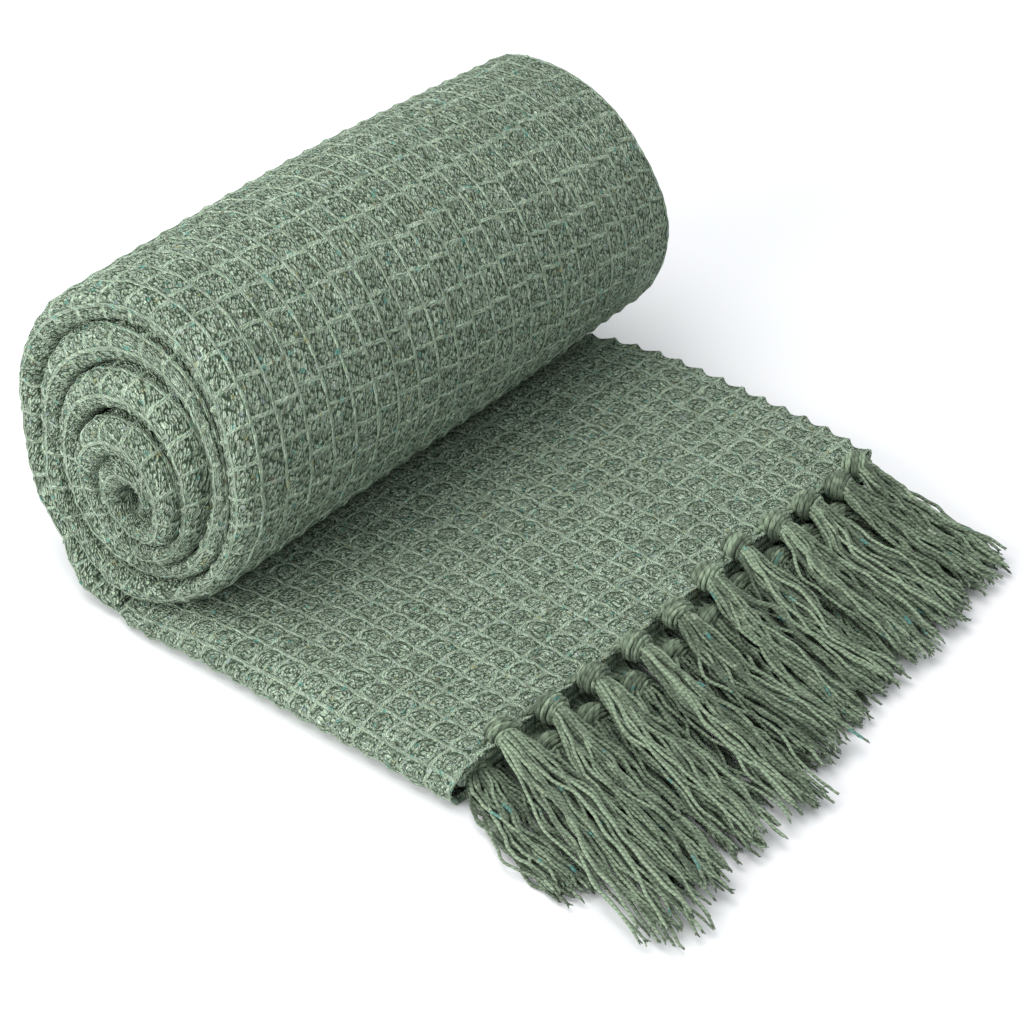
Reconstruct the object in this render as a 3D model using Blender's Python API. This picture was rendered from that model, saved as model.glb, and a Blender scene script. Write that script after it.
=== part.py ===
"""A waffle weave cotton blanket, folded in four lengthwise and rolled up, with the last
stretch of the cloth lying flat and a knotted tassel fringe on its end.

Metres, +Z up. X runs along the loose end towards the fringe, Y along the roll.
The four solids are lofts between unlike sections, worked out from the sizes below.
"""

import bmesh
import bpy
import numpy as np

# The wound roll. Turns are counted from the bottom, where the loose end leaves it.
TURNS = 4.5
BUNDLE_SHARE = 0.172  # thickness of the folded cloth in the roll, as a share of the radius
RADIUS_FRONT = 0.0975
RADIUS_BACK = 0.0945
AXIS_FRONT_X = -0.1425
AXIS_BACK_X = -0.1515
FRONT_Y = -0.150
BACK_Y = 0.1980
FLAT_SPOT = 0.0026  # how far the round section is pressed in where it rests
SQUAT = 0.012  # the roll is this much wider and lower than round
SIDE_DENT = 0.085  # at the front, its side over the loose end is pressed in by this share
STEPS_A_TURN = 32
GROOVE_FRONT = 0.011  # depth of the groove between two turns in the ends
GROOVE_BACK = 0.008
PIT = 0.024  # depth of the hollow at the centre of each end
SIDE_STATIONS = 9

# How far the edge of each stretch of the wound cloth lies inside the end plane.
FRONT_EDGE = (
    # turns, y
    (0.00, -0.025),
    (0.12, -0.019),
    (0.25, -0.006),
    (0.33, 0.006),
    (0.50, 0.012),
    (0.75, -0.001),
    (0.88, -0.010),
    (1.00, -0.018),
    (1.12, -0.012),
    (1.25, -0.001),
    (1.50, 0.008),
    (2.00, -0.007),
    (2.50, -0.003),
    (3.00, -0.013),
    (3.75, -0.015),
    (4.50, -0.012),
)
BACK_EDGE = (
    # turns, y
    (0.00, 0.014),
    (0.25, 0.004),
    (0.50, 0.000),
    (1.00, 0.004),
    (1.60, 0.002),
    (2.40, -0.002),
    (3.20, 0.003),
    (4.50, 0.006),
)

# The loose end: a cloth folded in four, its section carried along X.
PLIES = 4
PLY_SHARE = 0.215  # thickness of one ply, as a share of the folded height
END_X = 0.079  # where the cloth stops and its warp ends leave it
LOOSE_SHAPE = (
    # x from the roll's axis, height, y of the folded edge, y of the open edge
    (0.000, 0.0120, -0.176, 0.177),
    (0.012, 0.0126, -0.177, 0.178),
    (0.025, 0.0148, -0.179, 0.180),
    (0.050, 0.0196, -0.181, 0.183),
    (0.085, 0.0215, -0.179, 0.185),
    (0.130, 0.0224, -0.176, 0.184),
    (0.180, 0.0230, -0.173, 0.183),
    (0.205, 0.0232, -0.171, 0.181),
    (1.000, 0.0226, -0.168, 0.179),
)
UPPER_LAP = 0.024  # the uppermost ply turns down this far inside the folded edge
LOWER_LAP = 0.007
INNER_FOLD = 0.011  # the inner fold lies this far inside the outer one
FOLD_POINTS = 9
SHORT_PLY = 0.006  # the inner selvage stops this far short
GAP = 0.0003
STEP_GAP = 0.0012  # between the step in the roll and the start of the loose end

# The fringe: eleven tassels a row. Each has legs from the cloth, a knot and a bunch of strands.
TASSELS = (
    # knot y, upper tip x, upper tip y, lower tip x, lower tip y
    (-0.135, 0.231, -0.172, 0.170, -0.186),
    (-0.106, 0.228, -0.134, 0.212, -0.147),
    (-0.075, 0.227, -0.100, 0.216, -0.110),
    (-0.043, 0.230, -0.060, 0.214, -0.074),
    (-0.010, 0.219, -0.026, 0.204, -0.036),
    (0.024, 0.212, 0.007, 0.200, 0.000),
    (0.055, 0.209, 0.036, 0.199, 0.029),
    (0.085, 0.207, 0.070, 0.196, 0.063),
    (0.111, 0.205, 0.102, 0.194, 0.096),
    (0.138, 0.200, 0.133, 0.188, 0.128),
    (0.162, 0.196, 0.161, 0.182, 0.158),
)
HEADER_DEPTH = 0.004
HEADER_LAP = 0.011  # the header runs this far past the outer tassels
HEADER_INSET = 0.0004
BUNCH = (
    # share of the length, half width, half height, underside in the lower row and the upper
    (0.00, 0.0042, 0.0030, 0.0030, 0.0152),
    (0.05, 0.0070, 0.0044, 0.0010, 0.0158),
    (0.11, 0.0088, 0.0060, 0.0000, 0.0160),
    (0.17, 0.0072, 0.0044, 0.0000, 0.0148),
    (0.40, 0.0112, 0.0048, 0.0000, 0.0118),
    (0.72, 0.0138, 0.0044, 0.0000, 0.0098),
    (0.94, 0.0142, 0.0036, 0.0000, 0.0080),
    (1.00, 0.0095, 0.0018, 0.0000, 0.0050),
)
BUNCH_SIDES = 10

COLOUR_CLOTH = (0.155, 0.215, 0.165, 1.0)
COLOUR_LOOSE = (0.165, 0.228, 0.175, 1.0)
COLOUR_FRINGE = (0.140, 0.200, 0.155, 1.0)
CLOTH_ROUGHNESS = 0.95


def column(table, index):
    return np.array([row[index] for row in table])


def follow(table, index, at):
    """Reads a column of a table at places given in its first column, in straight runs between rows."""
    return np.interp(at, column(table, 0), column(table, index))


def cloth_material(name, colour):
    material = bpy.data.materials.new(name)
    material.use_nodes = True
    shader = material.node_tree.nodes["Principled BSDF"]
    shader.inputs["Base Color"].default_value = colour
    shader.inputs["Roughness"].default_value = CLOTH_ROUGHNESS
    shader.inputs["Metallic"].default_value = 0.0
    return material


def plain(faces):
    """The same faces with ordinary whole numbers in them."""
    return [tuple(int(i) for i in face) for face in faces]


def add_solid(name, points, faces, collection, colour):
    """Makes an object of the given faces, with its normals turned outwards."""
    mesh = bpy.data.meshes.new(name)
    mesh.from_pydata(np.asarray(points).tolist(), [], faces)
    shape = bmesh.new()
    shape.from_mesh(mesh)
    bmesh.ops.recalc_face_normals(shape, faces=shape.faces)
    shape.to_mesh(mesh)
    shape.free()
    solid = bpy.data.objects.new(name, mesh)
    mesh.materials.append(cloth_material(name + "_cloth", colour))
    mesh.shade_smooth()
    mesh.set_sharp_from_angle(angle=np.radians(50.0))
    collection.objects.link(solid)
    return solid


# ---- the wound roll ----------------------------------------------------------------------


def wound_point(turns, across, y):
    """A point of the wound cloth: its radius shrinks by one thickness a turn.

    turns runs along the cloth from the bottom of the roll, by the left, and across runs from
    its outer face, 0, to its inner face, 1. The lowest part is pressed flat at z = 0.
    """
    along = (y - FRONT_Y) / (BACK_Y - FRONT_Y)
    outer = RADIUS_FRONT + (RADIUS_BACK - RADIUS_FRONT) * along
    angle = 2.0 * np.pi * turns
    dent = SIDE_DENT * (1.0 - along) * np.maximum(-np.sin(angle), 0.0) ** 4
    radius = outer * (1.0 - BUNDLE_SHARE * (turns + across)) * (1.0 - dent)
    axis_x = AXIS_FRONT_X + (AXIS_BACK_X - AXIS_FRONT_X) * along
    axis_z = outer * (1.0 - SQUAT) - FLAT_SPOT
    x = axis_x - radius * np.sin(angle) * (1.0 + SQUAT)
    z = axis_z - radius * np.cos(angle) * (1.0 - SQUAT)
    return np.stack([x, np.broadcast_to(y, np.shape(x)), np.maximum(z, 0.0)], axis=-1)


def end_face(end_y, inwards, edges, groove):
    """One end of the roll, as rounded bands along the spiral with a groove between turns.

    Returns its points and faces, then the two loops of points that bound it: the outer rim
    with its step, and the rim of the hollow at the centre.
    """
    steps = round(TURNS * STEPS_A_TURN)
    turns = np.arange(steps + STEPS_A_TURN + 1) / STEPS_A_TURN
    here = follow(edges, 1, np.minimum(turns, TURNS))
    outside = np.where(turns >= 1.0, follow(edges, 1, np.maximum(turns - 1.0, 0.0)), here)
    rim = wound_point(turns, 0.0, end_y + 0.5 * (here + outside) * inwards + groove * inwards)
    rows = [rim]
    for across, sink in ((0.2, 0.22), (0.5, 0.0), (0.8, 0.22)):
        band = here[: steps + 1] * inwards + groove * sink * inwards
        rows.append(wound_point(turns[: steps + 1], across, end_y + band))
    starts = np.cumsum([0] + [len(row) for row in rows])
    points = np.concatenate(rows)
    faces = []
    for step in range(steps):
        lines = [starts[k] + step for k in range(4)] + [step + STEPS_A_TURN]
        faces += [(a, a + 1, b + 1, b) for a, b in zip(lines, lines[1:])]
    start_edge = [STEPS_A_TURN] + [int(starts[k]) for k in (3, 2, 1)]
    outer_loop = list(range(STEPS_A_TURN)) + start_edge
    last_edge = [int(starts[k]) + steps for k in (3, 2, 1)]
    inner_loop = list(range(steps, steps + STEPS_A_TURN + 1)) + last_edge
    return points, faces, outer_loop, inner_loop


def make_roll(collection):
    """The two spiral ends, joined by the outer face of the cloth carried along Y."""
    front, front_faces, loop, hollow = end_face(FRONT_Y, 1.0, FRONT_EDGE, GROOVE_FRONT)
    back, back_faces, _, _ = end_face(BACK_Y, -1.0, BACK_EDGE, GROOVE_BACK)
    shares = np.linspace(0.0, 1.0, SIDE_STATIONS)[1:-1]
    turns = np.array([n / STEPS_A_TURN for n in range(STEPS_A_TURN)] + [1.0, 0.0, 0.0, 0.0])
    across = np.array([0.0] * STEPS_A_TURN + [0.0, 0.8, 0.5, 0.2])
    rings = [front[loop]]
    for share in shares:
        y = front[loop][:, 1] * (1.0 - share) + back[loop][:, 1] * share
        rings.append(wound_point(turns, across, y))
    count = len(loop)
    points = [front, back] + rings[1:]
    first = len(front) + len(back)
    lines = [np.array(loop)]
    lines += [first + n * count + np.arange(count) for n in range(len(shares))]
    lines.append(np.array(loop) + len(front))
    faces = front_faces + [tuple(i + len(front) for i in face) for face in back_faces]
    for near, far in zip(lines, lines[1:]):
        for i in range(count):
            j = (i + 1) % count
            faces.append((near[i], near[j], far[j], far[i]))
    total = first + count * len(shares)
    for side, (offset, end, depth) in enumerate(
        ((0, FRONT_Y, PIT), (len(front), BACK_Y, -PIT))
    ):
        ring = [i + offset for i in hollow]
        rim = (front, back)[side][hollow]
        middle = rim.mean(axis=0)
        middle[1] = end + depth
        points.append(middle[None])
        faces += [(ring[i], ring[(i + 1) % len(ring)], total + side) for i in range(len(ring))]
    points = np.concatenate(points)
    return add_solid("blanket_roll", points, plain(faces), collection, COLOUR_CLOTH)


# ---- the loose end -----------------------------------------------------------------------


def fold_curve(middle_y, middle_z, lower_reach, upper_reach, half_height):
    """Half an oval from its lowest point round to its highest, longer above than below."""
    angle = np.linspace(-np.pi / 2, np.pi / 2, FOLD_POINTS)
    reach = np.where(angle < 0.0, lower_reach, upper_reach)
    y = middle_y + reach * (1.0 - np.cos(angle))
    return np.stack([y, middle_z + half_height * np.sin(angle)], axis=-1)


def folded_section(height, fold_y, open_y):
    """The middle line of the cloth folded in four, from one selvage to the other, in Y and Z."""
    ply = PLY_SHARE * height
    level = ply / 2 + np.arange(PLIES) * (height - ply) / (PLIES - 1)
    outer = fold_curve(fold_y + ply / 2, height / 2, LOWER_LAP, UPPER_LAP, level[3] - height / 2)
    inner = fold_curve(
        fold_y + INNER_FOLD, height / 2, LOWER_LAP, LOWER_LAP, level[2] - height / 2
    )
    turn_z = (level[2] + level[3]) / 2
    turn = fold_curve(open_y - ply / 2, turn_z, -LOWER_LAP, -LOWER_LAP, level[3] - turn_z)
    return np.concatenate(
        [
            [(open_y - ply / 2, level[0])],
            outer,
            turn[::-1],
            inner[::-1],
            [(open_y - SHORT_PLY, level[1])],
        ]
    )


def thick_section(line, thickness):
    """The two sides of a line of cloth, half its thickness either way along its normals."""
    run = np.gradient(line, axis=0)
    run /= np.linalg.norm(run, axis=1, keepdims=True)
    aside = np.stack([-run[:, 1], run[:, 0]], axis=-1) * thickness / 2
    return line + aside, line - aside


def make_loose_end(collection):
    """The folded section carried from under the roll to the fringe."""
    start_x = AXIS_FRONT_X + STEP_GAP
    stations = [start_x + x for x in column(LOOSE_SHAPE, 0)[:-1]] + [END_X]
    rings = []
    for x, (_, height, fold_y, open_y) in zip(stations, LOOSE_SHAPE):
        left, right = thick_section(folded_section(height, fold_y, open_y), PLY_SHARE * height)
        outline = np.concatenate([left, right[::-1]])
        outline[:, 1] = np.maximum(outline[:, 1], 0.0)
        rings.append(np.column_stack([np.full(len(outline), x), outline]))
    count = len(rings[0])
    half = count // 2
    faces = []
    for ring in range(len(rings) - 1):
        for i in range(count):
            j = (i + 1) % count
            a, b = ring * count, (ring + 1) * count
            faces.append((a + i, a + j, b + j, b + i))
    last = (len(rings) - 1) * count
    for i in range(half - 1):
        j = count - 1 - i
        faces.append((i, j, j - 1, i + 1))
        faces.append((last + i, last + i + 1, last + j - 1, last + j))
    return add_solid(
        "blanket_loose_end", np.concatenate(rings), plain(faces), collection, COLOUR_LOOSE
    )


# ---- the fringe --------------------------------------------------------------------------


def bunch(start, tip, rest):
    """One tassel: oval rings carried from its legs through the knot to its cut ends.

    rest is the column of the table with the heights on which this row's rings stand.
    """
    share, wide, high, under = (column(BUNCH, n) for n in (0, 1, 2, rest))
    middle = np.array(start) * (1 - share[:, None]) + np.array(tip) * share[:, None]
    heading = np.array(tip) - np.array(start)
    heading /= np.linalg.norm(heading)
    aside = np.array([-heading[1], heading[0]])
    angle = (np.arange(BUNCH_SIDES) + 0.5) * 2 * np.pi / BUNCH_SIDES - np.pi / 2
    flat = np.cos(np.pi / BUNCH_SIDES)
    across = np.cos(angle)[None, :] * wide[:, None]
    rise = np.sin(angle)[None, :] / flat * high[:, None]
    ground = (under + high)[:, None]
    points = np.empty((len(BUNCH), BUNCH_SIDES, 3))
    points[:, :, :2] = middle[:, None] + across[:, :, None] * aside
    points[:, :, 2] = ground + rise
    rings = len(BUNCH)
    faces = [tuple(range(BUNCH_SIDES)), tuple(range((rings - 1) * BUNCH_SIDES, rings * BUNCH_SIDES))]
    for ring in range(rings - 1):
        for i in range(BUNCH_SIDES):
            j = (i + 1) % BUNCH_SIDES
            a, b = ring * BUNCH_SIDES, (ring + 1) * BUNCH_SIDES
            faces.append((a + i, a + j, b + j, b + i))
    return points.reshape(-1, 3), faces


def make_fringe(row, tip, rest, collection, joiners):
    """A narrow header along the end of the cloth with eleven tassels joined to it."""
    start_x = END_X + GAP
    ends = column(TASSELS, 0)
    under = BUNCH[0][rest] + HEADER_INSET
    top = BUNCH[0][rest] + 2 * BUNCH[0][2] - HEADER_INSET
    low = np.array([start_x, ends.min() - HEADER_LAP, under])
    high = np.array([start_x + HEADER_DEPTH, ends.max() + HEADER_LAP, top])
    corners = np.array([[x, y, z] for x in (0, 1) for y in (0, 1) for z in (0, 1)])
    sides = [(0, 1, 3, 2), (4, 6, 7, 5), (0, 4, 5, 1), (2, 3, 7, 6), (0, 2, 6, 4), (1, 5, 7, 3)]
    comb = add_solid("fringe_" + row, low + corners * (high - low), sides, collection, COLOUR_FRINGE)
    for number, tassel in enumerate(TASSELS):
        start = (start_x + HEADER_DEPTH * 0.8, tassel[0])
        points, faces = bunch(start, tassel[tip : tip + 2], rest)
        piece = add_solid(f"join_{row}_{number + 1}", points, faces, joiners, COLOUR_FRINGE)
        piece.hide_render = True
        piece.display_type = "WIRE"
        join = comb.modifiers.new(f"tassel_{number + 1}", "BOOLEAN")
        join.operation = "UNION"
        join.solver = "EXACT"
        join.object = piece
    return comb


# ---- the blanket -------------------------------------------------------------------------


def shift_to_origin(solids):
    """The move that brings the middle of the underside of the solids' common box to the origin."""
    bpy.context.view_layer.update()
    graph = bpy.context.evaluated_depsgraph_get()
    corners = np.array([c for s in solids for c in s.evaluated_get(graph).bound_box])
    low, high = corners.min(axis=0), corners.max(axis=0)
    shift = -(low + high) / 2
    shift[2] = -low[2]
    return shift


for item in list(bpy.data.objects):
    bpy.data.objects.remove(item, do_unlink=True)

blanket = bpy.data.collections.new("waffle_weave_blanket")
bpy.context.scene.collection.children.link(blanket)
joined = bpy.data.collections.new("joined_tassels")
bpy.context.scene.collection.children.link(joined)

solids = [
    make_roll(blanket),
    make_loose_end(blanket),
    make_fringe("upper", 1, 4, blanket, joined),
    make_fringe("lower", 3, 3, blanket, joined),
]
shift = shift_to_origin(solids)
for item in list(blanket.objects) + list(joined.objects):
    item.location = shift
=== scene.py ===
"""A waffle weave cotton blanket, rolled up with one end lying flat and its tassels spread."""

import bpy
import numpy as np
from mathutils import Euler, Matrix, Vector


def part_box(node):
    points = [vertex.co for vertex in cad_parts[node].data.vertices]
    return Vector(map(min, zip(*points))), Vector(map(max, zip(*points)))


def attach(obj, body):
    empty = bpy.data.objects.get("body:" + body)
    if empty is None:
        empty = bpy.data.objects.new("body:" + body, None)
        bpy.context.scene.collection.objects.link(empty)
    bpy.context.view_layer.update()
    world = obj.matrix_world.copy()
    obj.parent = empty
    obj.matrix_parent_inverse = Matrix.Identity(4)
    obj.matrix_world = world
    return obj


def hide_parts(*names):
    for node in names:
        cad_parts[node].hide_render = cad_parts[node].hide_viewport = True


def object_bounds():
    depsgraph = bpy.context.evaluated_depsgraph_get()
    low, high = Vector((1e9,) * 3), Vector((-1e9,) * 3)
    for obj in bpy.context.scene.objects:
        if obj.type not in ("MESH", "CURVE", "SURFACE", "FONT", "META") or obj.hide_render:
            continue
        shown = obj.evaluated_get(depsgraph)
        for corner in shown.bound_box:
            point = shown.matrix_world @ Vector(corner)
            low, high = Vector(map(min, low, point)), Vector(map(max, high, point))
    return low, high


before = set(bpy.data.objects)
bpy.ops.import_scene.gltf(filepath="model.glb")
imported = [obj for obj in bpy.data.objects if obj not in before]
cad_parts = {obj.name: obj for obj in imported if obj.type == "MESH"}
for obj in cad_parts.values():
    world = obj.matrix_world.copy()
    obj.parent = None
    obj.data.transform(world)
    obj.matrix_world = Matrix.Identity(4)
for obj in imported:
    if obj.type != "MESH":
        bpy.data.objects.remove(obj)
cad_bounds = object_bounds()
scene = bpy.context.scene

# ---- camera ------------------------------------------------------------------------------
# A long lens looks down on the blanket from beside its fringe, over the folded edge.

CAMERA_PLACE = (0.7858, -0.9345, 0.9780)
CAMERA_TILT = 52.386
CAMERA_TURN = 40.63
LENS = 101.4

camera = bpy.data.objects.new("camera", bpy.data.cameras.new("camera"))
camera.data.lens = LENS
camera.location = CAMERA_PLACE
camera.rotation_euler = Euler(np.radians([CAMERA_TILT, 0.0, CAMERA_TURN]))
scene.collection.objects.link(camera)
scene.camera = camera

# ---- floor and light ---------------------------------------------------------------------
# A plain pale floor that runs past the frame, an even white sky, one large soft lamp nearly
# overhead and a weaker one before the roll's near end.

FLOOR_HALF = 12.0
FLOOR_COLOUR = (0.82, 0.82, 0.83, 1.0)
SKY_COLOUR = (0.95, 0.98, 1.0, 1.0)
SKY_STRENGTH = 0.80
KEY_WATTS = 39.0
KEY_SIDE = 1.8
KEY_PLACE = (-0.80, -0.28, 2.45)
FILL_WATTS = 38.0
FILL_SIDE = 1.6
FILL_PLACE = (-0.45, -1.90, 0.75)


class Wire:
    """A shader socket. Arithmetic on wires adds Math nodes, and mix and node add the others."""

    def __init__(self, tree, socket=None):
        self.tree = tree
        self.socket = socket

    def node(self, kind, settings=None, sockets=None, out=0):
        """Adds a node: its settings first, then a value or a wire for each of its sockets."""
        made = self.tree.nodes.new("ShaderNode" + kind)
        for name, value in (settings or {}).items():
            setattr(made, name, value)
        for key, value in (sockets or {}).items():
            if isinstance(value, Wire):
                self.tree.links.new(value.socket, made.inputs[key])
            else:
                made.inputs[key].default_value = value
        return Wire(self.tree, made.outputs[out])

    def output(self, number):
        """Another output of the node that this wire comes from."""
        return Wire(self.tree, self.socket.node.outputs[number])

    def math(self, operation, *others):
        values = dict(enumerate((self,) + others))
        return self.node("Math", {"operation": operation}, values)

    def __add__(self, other):
        return self.math("ADD", other)

    __radd__ = __add__

    def __sub__(self, other):
        return self.math("SUBTRACT", other)

    def __rsub__(self, other):
        return self.node("Math", {"operation": "SUBTRACT"}, {0: other, 1: self})

    def __mul__(self, other):
        return self.math("MULTIPLY", other)

    def __pow__(self, power):
        return self.math("POWER", power)

    def __abs__(self):
        return self.math("ABSOLUTE")

    def sine(self, turns=1.0):
        """The sine of this many whole turns for each unit."""
        return (self * (2 * np.pi * turns)).math("SINE")

    def ramp(self, low, high):
        """0 below low, 1 above high, and a smooth rise between, which falls if low is higher."""
        sockets = {"Value": self, "From Min": low, "From Max": high}
        return self.node("MapRange", {"interpolation_type": "SMOOTHSTEP"}, sockets)

    def mix(self, first, second):
        """This wire's share of the second colour, and the rest of the first."""
        return self.node("Mix", {"data_type": "RGBA"}, {0: self, 6: first, 7: second}, out=2)


def new_material(name, roughness, sheen=0.0):
    """A material with an empty Principled shader: (the shader, a wire to build on, the material)."""
    material = bpy.data.materials.new(name)
    material.use_nodes = True
    shader = material.node_tree.nodes["Principled BSDF"]
    shader.inputs["Roughness"].default_value = roughness
    shader.inputs["Sheen Weight"].default_value = sheen
    shader.inputs["Sheen Roughness"].default_value = 0.5
    shader.inputs["Sheen Tint"].default_value = (0.75, 0.92, 0.75, 1.0)
    shader.inputs["Specular IOR Level"].default_value = 0.10
    return shader, Wire(material.node_tree), material


def soft_lamp(name, place, side, watts):
    """A square lamp that faces the middle of the blanket."""
    lamp = bpy.data.objects.new(name, bpy.data.lights.new(name, "AREA"))
    lamp.data.size = side
    lamp.data.energy = watts
    lamp.location = place
    low, high = cad_bounds
    lamp.rotation_euler = ((low + high) / 2 - lamp.location).to_track_quat("-Z", "Y").to_euler()
    scene.collection.objects.link(lamp)


floor_mesh = bpy.data.meshes.new("floor")
corners = [(x * FLOOR_HALF, y * FLOOR_HALF, 0.0) for x, y in ((-1, -1), (1, -1), (1, 1), (-1, 1))]
floor_mesh.from_pydata(corners, [], [(0, 1, 2, 3)])
floor = bpy.data.objects.new("floor", floor_mesh)
scene.collection.objects.link(floor)
shader, _, material = new_material("pale_floor", 0.9)
shader.inputs["Base Color"].default_value = FLOOR_COLOUR
floor_mesh.materials.append(material)

soft_lamp("key_lamp", KEY_PLACE, KEY_SIDE, KEY_WATTS)
soft_lamp("fill_lamp", FILL_PLACE, FILL_SIDE, FILL_WATTS)
scene.world = bpy.data.worlds.new("white_sky")
scene.world.use_nodes = True
scene.world.node_tree.nodes["Background"].inputs["Color"].default_value = SKY_COLOUR
scene.world.node_tree.nodes["Background"].inputs["Strength"].default_value = SKY_STRENGTH
scene.view_settings.view_transform = "Standard"

# ---- the outer turn of the roll ----------------------------------------------------------
# The cloth is a cotton waffle weave of thick recycled yarn: straight double ribs round the
# roll, thinner and less even ribs along it, and sunken squares of plain weave between.
# It is folded in four, so at the near end its outer face turns in over the nested folds.

roll_low, roll_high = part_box("blanket_roll")
_, loose_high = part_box("blanket_loose_end")
FRONT_Y = roll_low.y + 0.025
BACK_Y = roll_high.y - 0.0045
AXIS_FRONT_X = loose_high.x - 0.2215
AXIS_BACK_X = loose_high.x - 0.2295
TURNS = 4.5
BUNDLE_SHARE = 0.172  # thickness of the folded cloth as a share of the roll's radius
RADIUS_FRONT = 0.0971
RADIUS_BACK = 0.0924
BULGE = 0.0030
FLAT_SPOT = 0.0026
SQUAT = 0.001
SIDE_DENT = 0.085
SAG = 0.016  # the middle of the winding hangs this much below the roll's own
SWELL = 0.017  # low on the left of the near end the roll stands out by this share more
SWELL_TURN = 0.315
SWELL_SPREAD = 0.070  # in turns
FRONT_EDGE = (
    # turns, how far inside the end plane the fold lies
    (0.00, 0.04, 0.12, 0.25, 0.33, 0.50, 0.75, 0.88, 1.00, 1.12, 1.25, 1.50, 2.00, 2.50, 3.00, 3.75,
     4.50),
    (-26, -27, -15, -5, -1, 10, -1, -12, -23, -18, -6, 3, -14, -9, -18, -19, -18),
)
BACK_EDGE = (
    (0.00, 0.25, 0.38, 0.50, 0.62, 0.75, 1.00, 1.60, 2.40, 3.20, 4.50),
    (14, 2, -4, 4, 3, -3, 3, 2, -2, 3, 6),
)
CELLS_ROUND = 28
CELLS_ALONG = 22
CELL_GROWTH = 0.14  # the squares are this much longer at the near end, and shorter at the far one
FOLD_CELL = 0.0165
CELL_STEPS = (0.0, 0.045, 0.09, 0.17, 0.29, 0.43, 0.57, 0.71, 0.83, 0.91, 0.955)
GROOVE = 0.0095
SHOULDER = 0.0125
LAP = 0.004  # each turn's faces stand this share of its thickness inside its neighbours'
RIB_HEIGHT = 0.0011
HOLLOW_DEPTH = 0.0012


def smooth_noise(x, y, seed):
    """A soft unevenness from -1 to 1: five sine waves of unlike lengths and headings, summed."""
    draw = np.random.default_rng(seed)
    total = 0.0
    for strength in (0.3, 0.25, 0.2, 0.15, 0.1):
        heading = draw.uniform(0, 2 * np.pi)
        stretch = draw.uniform(0.7, 1.7)
        phase = draw.uniform(0, 2 * np.pi)
        total = total + strength * np.sin(
            stretch * (x * np.cos(heading) + y * np.sin(heading)) + phase
        )
    return total


def chance(*cells):
    """A fixed draw from 0 to 1 for each whole-numbered cell: the fraction of a large sine."""
    mixed = sum(np.asarray(c) * k for c, k in zip(cells, (12.9898, 78.233, 37.719)))
    return np.modf(np.abs(np.sin(mixed) * 43758.5453))[0]


def wander(length, width):
    """How far a rib across the cloth strays from its place, in cells: between two ribs along the
    cloth it lies aslant and off its line by a chance step, and over it all goes a slow wave."""
    column = np.floor(width)
    share = width - column
    held = np.clip(np.minimum(share, 1 - share) / 0.05, 0, 1)
    step = 0.14 * (chance(np.round(length), column) - 0.5) - 0.17 * (share - 0.5)
    return held * step + 0.07 * smooth_noise(length * 1.1, width * 1.7, 5)


def waffle(length, width, rib, hollow):
    """Height of the weave: the higher of two crossing ribs, less a hollow that is deepest at the
    middle of the square between them. Length and width are in cells."""
    off_length = np.abs(length - np.round(length))
    off_width = np.abs(width - np.round(width))
    strength = 0.62 + 0.38 * chance(np.round(length), np.floor(width) + 0.5)
    along = np.exp(-((off_width / 0.065) ** 2))
    across = np.exp(-((off_length / 0.060) ** 2)) * strength
    sunk = (1 - (2 * off_length) ** 2) * (1 - (2 * off_width) ** 2)
    return rib * np.maximum(along, across) - hollow * sunk


def cell_lines(first, last):
    """Places in cells from first to last, closer together at the ribs than between them."""
    cells = np.arange(np.floor(first), np.ceil(last) + 1)
    lines = (cells[:, None] + np.array(CELL_STEPS)).ravel()
    inside = lines[(lines > first + 0.02) & (lines < last - 0.02)]
    return np.concatenate([[first], inside, [last]])


def wound_point(turns, across, y):
    """A point of the wound cloth: its distance from the axis shrinks by one thickness a turn.
    Turns run from the bottom of the roll by the left, and across from outer face to inner."""
    along = (y - FRONT_Y) / (BACK_Y - FRONT_Y)
    outer = RADIUS_FRONT + (RADIUS_BACK - RADIUS_FRONT) * along
    outer = outer + BULGE * 4 * np.clip(along, 0, 1) * np.clip(1 - along, 0, 1)
    sag = SAG * (1.0 - along) * np.clip((turns + across - 0.8) / 3.7, 0, 1)
    angle = 2.0 * np.pi * turns
    dent = SIDE_DENT * (1.0 - along) * np.maximum(-np.sin(angle), 0.0) ** 4
    swell = SWELL * np.exp(-(((turns - SWELL_TURN) / SWELL_SPREAD) ** 2))
    swell = swell * np.clip(1 - 4 * along, 0, 1)
    radius = outer * (1.0 - BUNDLE_SHARE * (turns + across)) * (1.0 - dent + swell)
    axis_x = AXIS_FRONT_X + (AXIS_BACK_X - AXIS_FRONT_X) * along + 0.45 * sag
    axis_z = outer * (1.0 - SQUAT) - FLAT_SPOT - sag
    x = axis_x - radius * np.sin(angle) * (1.0 + SQUAT)
    z = axis_z - radius * np.cos(angle) * (1.0 - SQUAT)
    return np.stack([x, np.broadcast_to(y, np.shape(x)), z], axis=-1)


def edge_of(edge, turns):
    """How far inside the end plane a turn's edge lies: its table, eased by a cosine."""
    at = np.interp(turns, edge[0], np.arange(len(edge[0])))
    whole = np.floor(at)
    share = (1 - np.cos(np.pi * (at - whole))) / 2
    steps = np.arange(len(edge[0]))
    return 0.001 * (
        np.interp(whole, steps, edge[1]) * (1 - share)
        + np.interp(whole + 1, steps, edge[1]) * share
    )


def wound_length(turns):
    """Length of cloth from the start of the roll to a place on it, in cells: the sum of the
    shrinking turns."""
    first = BUNDLE_SHARE / 2
    share = (turns - first * turns**2) / (1.0 - first)
    return CELLS_ROUND * share


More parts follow.
